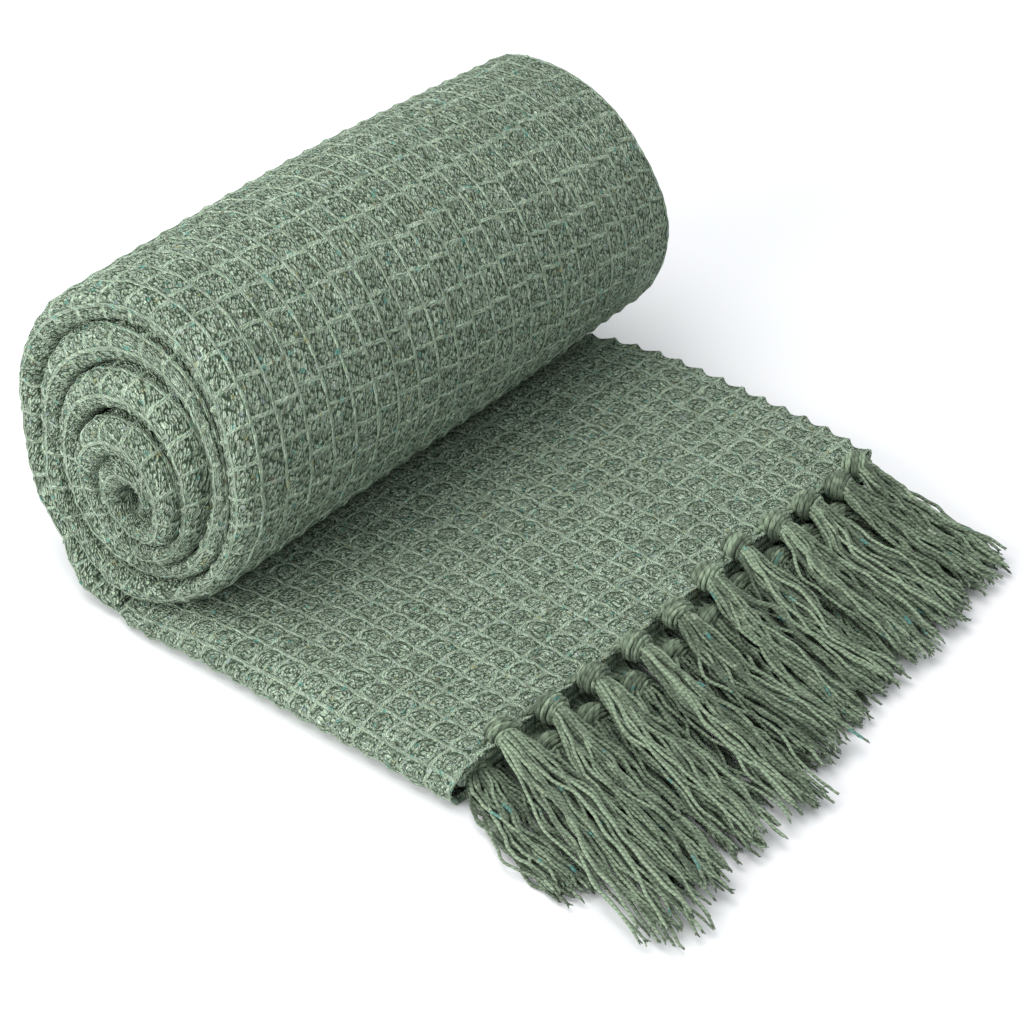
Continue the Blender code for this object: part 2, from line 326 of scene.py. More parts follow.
def raised(points, height):
    """The points moved along the surface's own normal by a height."""
    normal = np.cross(np.gradient(points, axis=1), np.gradient(points, axis=0))
    normal /= np.maximum(np.linalg.norm(normal, axis=-1, keepdims=True), 1e-12)
    return points + normal * height[..., None]


def add_piece(name, points, faces, weave, material, node):
    """Puts a mesh of points and faces into the scene, with its place in the weave as its UV map,
    as a piece that rides on the blanket and stands for a CAD solid."""
    mesh = bpy.data.meshes.new(name)
    mesh.from_pydata(points, [], faces)
    weave = np.asarray(weave, np.float32)
    if len(weave) == len(points):
        weave = weave[np.asarray(faces).ravel()]
    mesh.uv_layers.new(name="weave").data.foreach_set("uv", weave.ravel())
    mesh.shade_smooth()
    mesh.materials.append(material)
    piece = bpy.data.objects.new(name, mesh)
    scene.collection.objects.link(piece)
    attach(piece, "root")
    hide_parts(node)
    return piece


def grid_faces(rows, columns, start=0):
    """The four-sided faces between neighbouring points of a grid, turned to face outwards."""
    place = start + np.arange(rows * columns).reshape(rows, columns)
    corners = (place[:-1, :-1], place[1:, :-1], place[1:, 1:], place[:-1, 1:])
    return np.stack([c.ravel() for c in corners], axis=-1)


def add_cloth(name, points, length, width, material, node):
    """A grid of points as one open sheet of cloth."""
    rows, columns = points.shape[:2]
    weave = np.stack([length, width], axis=-1).reshape(-1, 2)
    faces = grid_faces(rows, columns)
    return add_piece(
        name, points.reshape(-1, 3), faces, weave, material, node
    )


def cloth_material(name, yarns, tint, nested, rib_light_and_shade, bump_depth):
    """Thick uneven yarn, woven: each float is a dash with a rounded back and a tone of its own,
    painted darker towards its edges as painted shade, with painted shade in the gaps where dashes
    meet. In the squares the dashes lie aslant, or else in nested squares. In the ribs, which lie on
    whole cells, they lie two abreast. Over it go flecks. The rib light and shade says how much paler
    the raised ribs are painted, as painted light, and how dark the painted shade in the far corners
    of the squares and in the strips beside the ribs is."""
    shader, wire, material = new_material(name, 0.93, 0.12)
    place = wire.node("UVMap", {"uv_map": "weave"})
    flat = {"noise_dimensions": "2D"}
    sockets = {"Vector": place, "Scale": 3.1, "Detail": 1.5, "Roughness": 0.6}
    stray = wire.node("TexNoise", flat, sockets, out=1)
    stray = wire.node("VectorMath", {"operation": "SUBTRACT"}, {0: stray, 1: (0.5, 0.5, 0.5)})
    sockets = {0: stray, 1: (0.17, 0.17, 0.0), 2: place}
    bent = wire.node("VectorMath", {"operation": "MULTIPLY_ADD"}, sockets)
    along = wire.node("SeparateXYZ", {}, {0: bent})
    across = along.output(1)
    true_along = wire.node("SeparateXYZ", {}, {0: place})
    true_across = true_along.output(1)
    x, y = along.math("FRACT") - 0.5, across.math("FRACT") - 0.5
    ring = (abs(x) ** 3.0 + abs(y) ** 3.0) ** (1 / 3)
    if nested:
        upright = (abs(x) - abs(y)).math("GREATER_THAN", 0.0)
        square = along.math("FLOOR") * 11.0 + across.math("FLOOR") * 7.0
        lap = y * upright + x * (1 - upright) + upright * x.math("SIGN") * 5.0
        dash_along = lap * (yarns / 1.35) + square
        dash_across = ring * (yarns / 0.85) + square * 3.0
    else:
        dash_along = (along * 0.87 - across * 0.5) * (yarns / 1.25)
        dash_across = (along * 0.5 + across * 0.87) * (yarns / 0.58)
    off_across = abs((true_across + 0.5).math("FRACT") - 0.5)
    off_along = abs((true_along + 0.5).math("FRACT") - 0.5)
    segment = wire.node(
        "CombineXYZ", {}, {0: (true_along + 0.5).math("FLOOR"), 1: true_across.math("FLOOR")}
    )
    strength = wire.node("TexWhiteNoise", flat, {"Vector": segment})
    edge = (wire.node("TexNoise", flat, {"Vector": place, "Scale": 11.0}) - 0.5) * 0.04
    round_rib = (off_across + edge).math("LESS_THAN", 0.068)
    cross_rib = (off_along + edge).math("LESS_THAN", strength * 0.030 + 0.042) * (1 - round_rib)
    rib = round_rib + cross_rib
    free = 1 - rib
    dash_along = (
        dash_along * free
        + (true_along * (yarns / 1.15) + true_across * yarns) * round_rib
        + (true_across * (yarns / 1.15) + true_along * yarns) * cross_rib
    )
    dash_across = (
        dash_across * free
        + true_across * (yarns * 1.5) * round_rib
        + true_along * (yarns * 1.5) * cross_rib
    )
    dash = wire.node("CombineXYZ", {}, {0: dash_along, 1: dash_across})
    sockets = {"Vector": dash, "Scale": 1.0, "Randomness": 0.72}
    floats = wire.node("TexVoronoi", {"voronoi_dimensions": "2D"}, sockets)
    draws = wire.node("SeparateColor", {}, {0: floats.output(1)})
    other = draws.output(1)
    fibre = wire.node("TexNoise", flat, {"Vector": place, "Scale": 34.0, "Detail": 1.0})
    patch = wire.node("TexNoise", flat, {"Vector": place, "Scale": 0.55, "Detail": 2.0})
    # Painted shade in the gaps where the dashes meet, weaker on the ribs.
    gap_shade = (floats + other * 0.18 - 0.09).ramp(0.38, 0.59)
    gap_shade = gap_shade * (1 - rib * 0.55)
    # Painted shade in the far corner of each square, where its wall faces away from the light, and
    # in strips beside the round ribs.
    far_corner_shade = ring.ramp(0.31, 0.37) * ring.ramp(0.46, 0.41) * (y - x).ramp(0.15, 0.60)
    beside = off_across.ramp(0.125, 0.085) * free * edge.ramp(-0.012, 0.012)
    shadow = far_corner_shade * (strength * 0.6 + 0.4) * rib_light_and_shade[1] * free + beside * rib_light_and_shade[2]
    spread = (draws - 0.5) * (1 - rib * 0.45)
    shade = 0.56 + spread + (patch - 0.5) * 0.4 + (fibre - 0.5) * 1.2
    # Painted light makes the raised ribs paler, and painted shade darkens each float towards its
    # edges.
    shade = shade + rib * rib_light_and_shade[0] - floats * 0.25 + draws.ramp(0.90, 0.97) * free * 0.5
    pale = (2.50 * tint[0], 2.34 * tint[1], 2.60 * tint[2], 1.0)
    deep = tuple(0.60 * t for t in tint) + (1.0,)
    dark = (0.10 * tint[0], 0.15 * tint[1], 0.10 * tint[2], 1.0)
    colour = shade.ramp(-0.35, 1.35).mix(deep, pale)
    tinge = wire.node("TexNoise", flat, {"Vector": place, "Scale": 6.0, "Detail": 2.0}, out=1)
    settings = {"data_type": "RGBA", "blend_type": "OVERLAY"}
    colour = wire.node("Mix", settings, {0: 0.16, 6: colour, 7: tinge}, out=2)
    # All the painted shade, in the gaps, the far corners and beside the ribs, is mixed towards the
    # dark tone here.
    colour = (gap_shade * 0.92 + shadow).math("MINIMUM", 0.95).mix(colour, dark)
    sockets = {"Vector": bent, "Scale": 4.6}
    spots = wire.node("TexVoronoi", {"voronoi_dimensions": "2D"}, sockets)
    kind = wire.node("SeparateColor", {}, {0: spots.output(1)})
    pick = kind.output(1)
    rare = kind.ramp(0.90, 0.92) * spots.ramp(0.46, 0.20) * (1 - gap_shade * 0.7)
    dyes = wire.node("ValToRGB", {}, {0: pick})
    stops = dyes.socket.node.color_ramp
    stops.interpolation = "CONSTANT"
    fleck_tones = (
        (0.00, (0.10, 0.36, 0.30, 1)),
        (0.24, (0.24, 0.52, 0.44, 1)),
        (0.42, (0.60, 0.68, 0.60, 1)),
        (0.62, (0.40, 0.40, 0.18, 1)),
        (0.76, (0.15, 0.12, 0.06, 1)),
        (0.88, (0.40, 0.50, 0.50, 1)),
    )
    stops.elements[1].position = 0.995
    stops.elements[1].color = fleck_tones[0][1]
    stops.elements[0].color = fleck_tones[0][1]
    for position, tone in fleck_tones[1:]:
        stops.elements.new(position).color = tone
    colour = (rare * 0.8).mix(colour, dyes)
    height = (0.8 - floats) * (free * 0.9 + 0.7) + rib * 0.55 + fibre * 0.5
    sockets = {"Height": height, "Strength": 1.0, "Distance": bump_depth}
    bump = wire.node("Bump", {}, sockets)
    wire.tree.links.new(colour.socket, shader.inputs["Base Color"])
    wire.tree.links.new(bump.socket, shader.inputs["Normal"])
    return material


SAGE = (0.264, 0.350, 0.240)
roll_material = cloth_material("roll_waffle_cloth", 8, SAGE, False, (0.11, 0.10, 0.9), 0.0026)


def start_share(turns):
    """How much deeper the fold is rounded over the roll's first stretch, under the loose end."""
    return 1 + 1.1 * np.clip(1 - turns / 0.07, 0, 1)


def groove_at(turns):
    """Depth of the groove inside a turn's fold: it fades where two turns lie close, high on the
    right, and is uneven elsewhere."""
    near = np.interp(turns, (0.35, 0.48, 0.78, 0.88), (1.0, 0.35, 0.35, 1.0))
    return GROOVE * near * (1 + 0.45 * smooth_noise(turns * 9.0, 0.0, 61))


def end_fold(turns, across, depth, edge, shoulder, groove, end_y, inwards):
    """Places of a rounded fold at a turn's edge: it stands furthest out at the middle of the
    turn's thickness and sinks by a power of the distance from there, outwards to a shoulder and
    inwards to a groove. Depth then runs inwards."""
    off = np.abs(2 * across - 1)[:, None]
    sink = np.where(across[:, None] < 0.5, shoulder * off**2.5, groove * off**3)
    sink = sink * start_share(turns)[None, :] + depth[:, None]
    return end_y + inwards * (edge_of(edge, turns)[None, :] + sink)


lines_round = cell_lines(0.0, CELLS_ROUND)
turn_table = np.linspace(0.0, TURNS, 2000)
turns = np.interp(lines_round, wound_length(turn_table), turn_table)

fold_across = np.sin(np.linspace(np.pi / 2, -np.pi / 2, 19)) * (0.5 - LAP) + 0.5
inner_depth = np.linspace(0.024, 0.0022, 12)
shape_across = np.concatenate([np.full(12, 1 - LAP), fold_across[1:-1]])
shape_depth = np.concatenate([inner_depth, np.zeros(17)])
from_end = np.clip((1 - turns) / 0.12, 0, 1)
shoulder = groove_at(turns - 1) * (1 - from_end) + SHOULDER * from_end
fold_y = end_fold(
    turns, shape_across, shape_depth, FRONT_EDGE, shoulder, groove_at(turns), FRONT_Y, 1.0
)
lines_along = cell_lines(0.0, CELLS_ALONG)
share = lines_along / CELLS_ALONG
share = share * (1 + CELL_GROWTH) - CELL_GROWTH * share**2
rim_y = FRONT_Y + edge_of(FRONT_EDGE, turns) + shoulder * start_share(turns)
back_y = BACK_Y - edge_of(BACK_EDGE, turns)
scallop = 0.0008 * np.cos(2 * np.pi * lines_round)
face_y = rim_y + share[:, None] * (back_y + scallop - rim_y)
lip_across = np.array([0.05, 0.12, 0.2, 0.26])
lip_y = np.stack([back_y + scallop + t for t in (0.0008, 0.0006, -0.001, -0.004)])
across = np.concatenate([shape_across, np.zeros(len(share)), lip_across])[:, None]
across = across + np.zeros(len(turns))
y = np.concatenate([fold_y, face_y, lip_y])
outer_turn = wound_point(turns[None, :], across, y)


def cells_across(points, start, pitch):
    """Distance along the middle column of a grid, in cells, counted so that row start is 0."""
    step = np.linalg.norm(np.diff(points[:, points.shape[1] // 2], axis=0), axis=-1)
    run = np.concatenate([[0.0], np.cumsum(step)]) / pitch
    return run - run[start]


first_row = len(shape_across)
width = cells_across(outer_turn, first_row, FOLD_CELL)
width[first_row : first_row + len(share)] = lines_along
width[first_row + len(share) :] = CELLS_ALONG + np.array([0.06, 0.15, 0.25, 0.4])
width = np.broadcast_to(width[:, None], outer_turn.shape[:2])
length = np.broadcast_to(lines_round, outer_turn.shape[:2])
length = length + wander(length, width)
relief = waffle(length, width, RIB_HEIGHT, HOLLOW_DEPTH)
relief = relief + 0.0008 * smooth_noise(length * 0.5, width * 0.5, 11) * from_end
outer_turn = raised(outer_turn, relief)
outer_turn[..., 2] = np.maximum(outer_turn[..., 2], 0.0003)
piece = add_cloth("roll_outer_turn", outer_turn, length, width, roll_material, "blanket_roll")

# ---- the inner turns at the near end ------------------------------------------------------
# The same folded cloth goes on inside the outer turn for three and a half turns more. Only the
# rounded folds show, each rising out of a groove, and the last one ends in a soft curl.

TURN_END = TURNS + 0.42
HIDDEN_DEPTH = 0.034


def tapered(across, turns):
    """Brings both faces of a turn together towards the cloth's end, as a quarter of an oval."""
    left = np.clip((TURN_END - turns) / 0.30, 0, 1)
    return 0.5 + (across - 0.5) * (0.12 + 0.88 * np.sqrt(1 - (1 - left) ** 2))


start_round = float(wound_length(1.0))
lines_inner = cell_lines(start_round, wound_length(TURN_END))
turn_table = np.linspace(0.0, TURN_END, 3000)
inner_turns = np.interp(lines_inner, wound_length(turn_table), turn_table)
outer_depth = np.linspace(HIDDEN_DEPTH, 0.0022, 13)
band_across = np.concatenate([np.full(12, 1 - LAP), fold_across[1:-1], np.full(13, LAP)])
band_depth = np.concatenate([inner_depth, np.zeros(17), outer_depth[::-1]])
band_y = end_fold(
    inner_turns, band_across, band_depth, FRONT_EDGE, groove_at(inner_turns - 1),
    groove_at(inner_turns), FRONT_Y, 1.0,
)
across = tapered(band_across[:, None], inner_turns[None, :])
inner_bands = wound_point(inner_turns[None, :], across, band_y)
width = cells_across(inner_bands, 29, FOLD_CELL)
width = np.broadcast_to(width[:, None], inner_bands.shape[:2])
length = np.broadcast_to(lines_inner, inner_bands.shape[:2])
length = length + wander(length, width)
relief = waffle(length, width, RIB_HEIGHT, HOLLOW_DEPTH)
from_start = np.clip((inner_turns - 1) / 0.12, 0, 1)
relief = relief + 0.0024 * smooth_noise(length * 1.1, width * 0.9, 21) * from_start
inner_bands = raised(inner_bands, relief)
piece = add_cloth("roll_inner_turns", inner_bands, length, width, roll_material, "blanket_roll")

# ---- the turns at the far end --------------------------------------------------------------
# At the far end each turn shows two selvages of single cloth and one fold between them and the
# next turn, all pressed together.

FAR_PROFILE = (
    # across the turn, depth behind its edge
    (0.06, 0.07, 0.10, 0.15, 0.19, 0.22, 0.24, 0.27, 0.32, 0.37, 0.41, 0.44,
     0.47, 0.51, 0.58, 0.66, 0.71, 0.77, 0.84, 0.90, 0.94, 0.945),
    (0.022, 0.004, 0.001, 0.0, 0.001, 0.004, 0.012, 0.005, 0.0015, 0.0015, 0.004, 0.013,
     0.006, 0.002, 0.0, 0.0006, 0.0024, 0.0006, 0.0, 0.002, 0.006, 0.022),
)
far_round = np.linspace(0.3, float(wound_length(TURN_END)), 640)
far_turns = np.interp(far_round, wound_length(turn_table), turn_table)
far_across, far_depth = (np.array(column) for column in FAR_PROFILE)
far_y = end_fold(
    far_turns, np.full(len(far_across), 0.5), far_depth + 0.0008, BACK_EDGE, 0.0, 0.0, BACK_Y, -1.0
)
far_y = far_y - 0.003 * ((far_turns < 1.0)[None, :] & (far_across < 0.23)[:, None])
far_y = far_y + 0.0012 * np.cos(2 * np.pi * far_round)[None, :]
far_bands = wound_point(far_turns[None, :], tapered(far_across[:, None], far_turns[None, :]), far_y)
far_bands[..., 2] = np.maximum(far_bands[..., 2], 0.0005)
width = cells_across(far_bands, 0, FOLD_CELL)
width = np.broadcast_to(width[:, None], far_bands.shape[:2])
length = np.broadcast_to(far_round, far_bands.shape[:2])
relief = 0.0007 * smooth_noise(length * 2.0, width * 2.0, 31)
far_bands = raised(far_bands, relief)[::-1]
piece = add_cloth(
    "roll_far_turns", far_bands, length[::-1], width[::-1], roll_material, "blanket_roll"
)

# ---- the loose end ---------------------------------------------------------------------------
# The first stretch of the cloth lies flat, still folded in four. Its squares are smaller and
# softer than those of the stretched cloth on the roll, and its far fold is scalloped.

LOOSE_CELL = 0.0151
PLIES = 4
PLY_SHARE = 0.215
LOOSE_SHAPE = (
    # x from the roll's axis, height, y of the folded edge and of the open edge
    (-0.012, 0.000, 0.012, 0.025, 0.050, 0.085, 0.130, 0.180, 0.205, 0.222),
    (0.0100, 0.0122, 0.0130, 0.0150, 0.0196, 0.0215, 0.0224, 0.0230, 0.0232, 0.0226),
    (-0.1665, -0.1760, -0.1790, -0.1795, -0.1780, -0.1760, -0.1745, -0.1740, -0.1740, -0.1725),
    (0.177, 0.177, 0.177, 0.178, 0.1815, 0.1860, 0.1870, 0.1862, 0.185, 0.183),
)
UPPER_LAP = 0.026
LOWER_LAP = 0.009
SIDE_SHIFT = FRONT_Y + 0.150
CAD_END_X = loose_high.x
END_X = CAD_END_X + 0.009  # the last picks of the cloth run on between the legs


def loose_sizes(x):
    """Height of the folded cloth and the y of its folded edge and open edge, at places along it."""
    return (np.interp(x - AXIS_FRONT_X, LOOSE_SHAPE[0], LOOSE_SHAPE[n]) for n in (1, 2, 3))


def outer_outline(height, fold_y, open_y):
    """The outside of the folded cloth in Y and Z, from under its open edge, round the folded edge
    as an oval, over the top and round the far fold as half a circle. Last axis: y, z."""
    ply = PLY_SHARE * height
    radius = (2 * ply + (height - PLIES * ply) / (PLIES - 1)) / 2
    at = np.linspace(0, 1, 400)[:, None]
    bottom_y = open_y + (fold_y + LOWER_LAP - open_y) * at
    angle = np.pi * (at - 0.5)
    reach = LOWER_LAP + (UPPER_LAP - LOWER_LAP) * np.clip(0.5 + 1.2 * np.sin(angle), 0, 1)
    fold_line = fold_y + reach * (1 - np.cos(angle))
    fold_z = height / 2 * (1 + np.sin(angle))
    top_y = fold_y + UPPER_LAP + (open_y - radius - fold_y - UPPER_LAP) * at
    turn = np.pi * at
    turn_y = open_y - radius + radius * np.sin(turn)
    turn_z = height - radius + radius * np.cos(turn)
    under_y = open_y - radius - 0.03 * at
    still = np.zeros_like(at * height)
    y = np.concatenate([bottom_y, fold_line, top_y, turn_y, under_y])
    z = np.concatenate(
        [still, fold_z, still + height, turn_z, still + height - 2 * radius]
    )
    return np.stack([y + SIDE_SHIFT, z], axis=-1)


def sampled(outline, places):
    """Points at given distances, in cells, along an outline, which is measured at its middle
    column and shared out alike in the others."""
    middle = outline[:, outline.shape[1] // 2]
    run = np.linalg.norm(np.diff(middle, axis=0), axis=-1)
    run = np.concatenate([[0], np.cumsum(run)]) / LOOSE_CELL
    at = np.interp(places, run, np.arange(len(run)))
    low = np.minimum(at.astype(int), len(run) - 2)
    share = (at - low)[:, None, None]
    return outline[low] * (1 - share) + outline[low + 1] * share, run[-1]


lines_x = cell_lines(0.0, (END_X - AXIS_FRONT_X + 0.012) / LOOSE_CELL)
loose_x = AXIS_FRONT_X - 0.012 + lines_x * LOOSE_CELL
loose_x = np.concatenate([loose_x, END_X + np.array([0.0003, 0.0006, 0.0009])])
lines_x = np.concatenate([lines_x, lines_x[-1] + np.array([0.03, 0.1, 0.2])])
height, fold_y, open_y = loose_sizes(loose_x)
outline = outer_outline(height, fold_y, open_y)
_, whole = sampled(outline, np.array([0.0]))
under_cells = 22.0
places = np.concatenate([np.linspace(0, under_cells, 24)[:-1], cell_lines(under_cells, whole)])
loose, _ = sampled(outline, places)
x = np.broadcast_to(loose_x, loose.shape[:2])[..., None]
loose = np.concatenate([x, loose], axis=-1)
width = np.broadcast_to(places[:, None], loose.shape[:2])
length = np.broadcast_to(lines_x, loose.shape[:2])
scallop = 0.0018 * np.cos(2 * np.pi * length) * np.clip((width - whole + 4.2) / 0.6, 0, 1)
loose[..., 1] += scallop
length = length + 0.7 * wander(length, width)
relief = waffle(length, width, 0.0009, 0.0016)
relief = relief + 0.0011 * smooth_noise(length * 0.45, width * 0.45, 41)
relief[:, -3:] = np.array([-0.0010, -0.0024, -0.0040])
relief[:22] = 0.0
loose = raised(loose, relief)
loose[:, -1, 0] -= 0.003
loose[..., 2] = np.maximum(loose[..., 2], 0.0003)
LOOSE_SAGE = (0.274, 0.362, 0.250)
loose_material = cloth_material(
    "loose_waffle_cloth", 10, LOOSE_SAGE, True, (0.12, 0.70, 0.25), 0.0024
)
loose_piece = add_cloth(
    "loose_end_outside", loose, length, width, loose_material, "blanket_loose_end"
)


def closed_section(line, thickness):
    """A line of cloth with half its thickness on either side, as one closed loop of points."""
    run = np.gradient(line, axis=0)
    run /= np.linalg.norm(run, axis=-1, keepdims=True)
    aside = np.stack([-run[..., 1], run[..., 0]], axis=-1) * (thickness / 2)[None, :, None]
    return np.concatenate([line + aside, (line - aside)[::-1]])


ply_x = np.concatenate([np.arange(AXIS_FRONT_X + 0.03, END_X - 0.003, 0.004), [END_X - 0.0015]])
height, fold_y, open_y = loose_sizes(ply_x)
ply = PLY_SHARE * height
level = ply[None] / 2 + np.arange(PLIES)[:, None] * (height - ply)[None] / (PLIES - 1)
at = np.linspace(0, 1, 60)[:, None]
angle = np.pi * (0.5 - at)
inner_y = fold_y + 0.012
fold_line = inner_y + 0.009 * (1 - np.cos(angle))
fold_z = (level[1] + level[2]) / 2 + (level[2] - level[1]) / 2 * np.sin(angle)
line_y = np.concatenate(
    [open_y - 0.008 + (inner_y + 0.009 - open_y + 0.008) * at[:-1], fold_line,
     inner_y + 0.009 + (open_y - 0.005 - inner_y - 0.009) * at[1:]]
)
straight = np.ones_like(at[1:])
line_z = np.concatenate([level[2] * straight, fold_z, level[1] * straight])
section = closed_section(np.stack([line_y + SIDE_SHIFT, line_z], axis=-1), ply * 0.86)
rows = len(section)
x = np.broadcast_to(ply_x, section.shape[:2])[..., None]
plies = np.concatenate([x, section], axis=-1)
wave = 0.0006 * smooth_noise(plies[..., 0] * 400, plies[..., 1] * 400, 51)
plies[..., 2] += wave
faces = grid_faces(rows, len(ply_x))
last = len(ply_x)
seam = np.arange(last - 1)
faces = np.concatenate(
    [faces, np.stack([(rows - 1) * last + seam, seam, seam + 1, (rows - 1) * last + seam + 1], -1)]
)
pair = np.arange(rows // 2 - 1)
for column, order in ((0, (0, 1, 2, 3)), (last - 1, (3, 2, 1, 0))):
    ring = (pair, rows - 1 - pair, rows - 2 - pair, pair + 1)
    caps = np.stack([ring[k] * last + column for k in order], -1)
    faces = np.concatenate([faces, caps])
weave = plies[..., :2].reshape(-1, 2) / LOOSE_CELL
piece = add_piece(
    "loose_end_plies", plies.reshape(-1, 3), faces, weave, loose_material,
    "blanket_loose_end",
)

# ---- the fringe --------------------------------------------------------------------------------
# The warp yarns run on past the cloth in groups. Each group leaves as two legs, is tied in one
# overhand knot and hangs on as a tassel of twisted strands with frayed cut ends. The tassels
# of the two upper layers lie over those of the lower ones.

FRINGE_X = CAD_END_X - 0.0815
UPPER_KNOTS = (
    # x, y, height of the middle
    (0.089, -0.136, 0.0225), (0.097, -0.107, 0.0230), (0.098, -0.075, 0.0225),
    (0.099, -0.042, 0.0230), (0.099, -0.008, 0.0230), (0.092, 0.027, 0.0225),
    (0.089, 0.057, 0.0225), (0.093, 0.086, 0.0230), (0.095, 0.112, 0.0225),
    (0.098, 0.137, 0.0225), (0.094, 0.159, 0.0220),
)
UPPER_TIPS = (
    # x, y
    (0.233, -0.173), (0.229, -0.138), (0.225, -0.100), (0.228, -0.062), (0.216, -0.026),
    (0.206, 0.007), (0.206, 0.036), (0.205, 0.070), (0.203, 0.102), (0.198, 0.133),
    (0.195, 0.152),
)
LOWER_KNOTS = (
    (0.086, -0.153, 0.0085), (0.106, -0.117, 0.0090), (0.108, -0.087, 0.0090),
    (0.109, -0.054, 0.0090), (0.109, -0.021, 0.0090), (0.106, 0.014, 0.0090),
    (0.102, 0.046, 0.0090), (0.103, 0.076, 0.0090), (0.104, 0.103, 0.0090),
    (0.105, 0.128, 0.0090), (0.104, 0.147, 0.0090),
)
LOWER_TIPS = (
    (0.180, -0.180), (0.212, -0.150), (0.212, -0.117), (0.204, -0.081), (0.206, -0.042),
    (0.202, -0.008), (0.200, 0.022), (0.196, 0.054), (0.194, 0.088), (0.190, 0.120),
    (0.184, 0.152),
)
SPREAD = (
    # share of the length, half width in the upper row, half height, middle height in the lower
    # row and in the upper, half width in the lower row
    (0.00, 0.05, 0.12, 0.25, 0.45, 0.72, 0.94, 1.00),
    (0.0044, 0.0052, 0.0068, 0.0084, 0.0102, 0.0124, 0.0136, 0.0140),
    (0.0046, 0.0048, 0.0050, 0.0050, 0.0050, 0.0046, 0.0038, 0.0034),
    (0.0090, 0.0088, 0.0076, 0.0064, 0.0058, 0.0054, 0.0046, 0.0042),
    (0.0220, 0.0228, 0.0215, 0.0188, 0.0160, 0.0130, 0.0095, 0.0080),
    (0.0060, 0.0115, 0.0150, 0.0165, 0.0165, 0.0165, 0.0165, 0.0165),
)
STRANDS = 38
LOCKS = 8
STRAND_RINGS = 29
STRAND_SIDES = 5
STRAND_RADIUS = 0.00098
TWIST_PITCH = 0.0029
KNOT_HALF = (0.0082, 0.0080, 0.0070)  # ahead, beside and up
KNOT_TURNS = 9
KNOT_LEAN = 0.10
KNOT_YARN = 0.00118  # radius
KNOT_POINTS = 20  # round each ring of a knot
KNOT_SHIFT = (-0.001, 0.007)  # what the places above move by, in x and y
TIP_SHIFT = (-0.002, 0.005)
LEG_REACH = 0.0155
LEG_YARN = 0.00115
LEG_RINGS = 9
LOWEST = 0.0014  # no middle of a yarn of the knots and legs lies lower than this
UNDER_COUNT = 120
UNDER_YARN = 0.0011
UNDER_SIDES = 4
UPPER_FULLNESS = (1.35, 1.0, 1.0, 0.8, 1.0, 1.0, 1.0, 1.0, 1.0, 1.0, 1.0)
LOWER_FULLNESS = (0.8, 1.0, 1.0, 1.0, 1.0, 1.0, 1.0, 1.0, 1.0, 1.0, 1.0)


def unit(vectors):
    return vectors / np.maximum(np.linalg.norm(vectors, axis=-1, keepdims=True), 1e-9)


def tube_set(paths, radius, sides, reference, number, pitch=TWIST_PITCH, closed=False):
    """Round tubes along many paths at once: at each ring a circle in the plane across the path.
    Returns points, faces and a UV for each corner: the tube's number and turn, and the twist."""
    count, rings = paths.shape[:2]
    if closed:
        ahead, behind = np.roll(paths, -1, axis=1), np.roll(paths, 1, axis=1)
        run = unit(ahead - behind)
    else:
        run = unit(np.gradient(paths, axis=1))
    side = unit(np.cross(run, reference))
    rise = np.cross(side, run)
    angle = np.arange(sides) * 2 * np.pi / sides
    circle = side[:, :, None] * np.cos(angle)[:, None] + rise[:, :, None] * np.sin(angle)[:, None]
    points = paths[:, :, None] + circle * radius[:, :, None, None]
    tube, ring, j = np.meshgrid(
        np.arange(count), np.arange(rings - (not closed)), np.arange(sides), indexing="ij"
    )
    after, beside = (ring + 1) % rings, (j + 1) % sides

    def place(r, s):
        return (tube * rings + r) * sides + s

    faces = [place(ring, j), place(ring, beside), place(after, beside), place(after, j)]
    faces = np.stack([f.ravel() for f in faces], axis=-1)
    step = np.linalg.norm(np.diff(paths, axis=1), axis=-1)
    travel = np.concatenate([np.zeros((count, 1)), np.cumsum(step, axis=1)], axis=1)
    if closed:
        travel = np.concatenate([travel, travel[:, -1:] + step[:, :1]], axis=1)
    travel = travel / pitch + chance(np.arange(count) + number)[:, None]
    turn = 0.02 + 0.96 * np.stack([j, j + 1, j + 1, j], axis=-1) / sides
    rows = np.stack([ring, ring, ring + 1, ring + 1], axis=-1)
    u = number + tube[..., None] + turn
    v = travel[tube[..., None], rows]
    weave = np.stack([u.reshape(-1, 4), v.reshape(-1, 4)], axis=-1)
    return points.reshape(-1, 3), faces, weave


def gathered(parts):
    """Several sets of points, faces and UVs as one."""
    starts = np.cumsum([0] + [len(p[0]) for p in parts[:-1]])
    return (
        np.concatenate([p[0] for p in parts]),
        np.concatenate([p[1] + s for p, s in zip(parts, starts)]),
        np.concatenate([p[2].reshape(-1, 2) for p in parts]),
    )


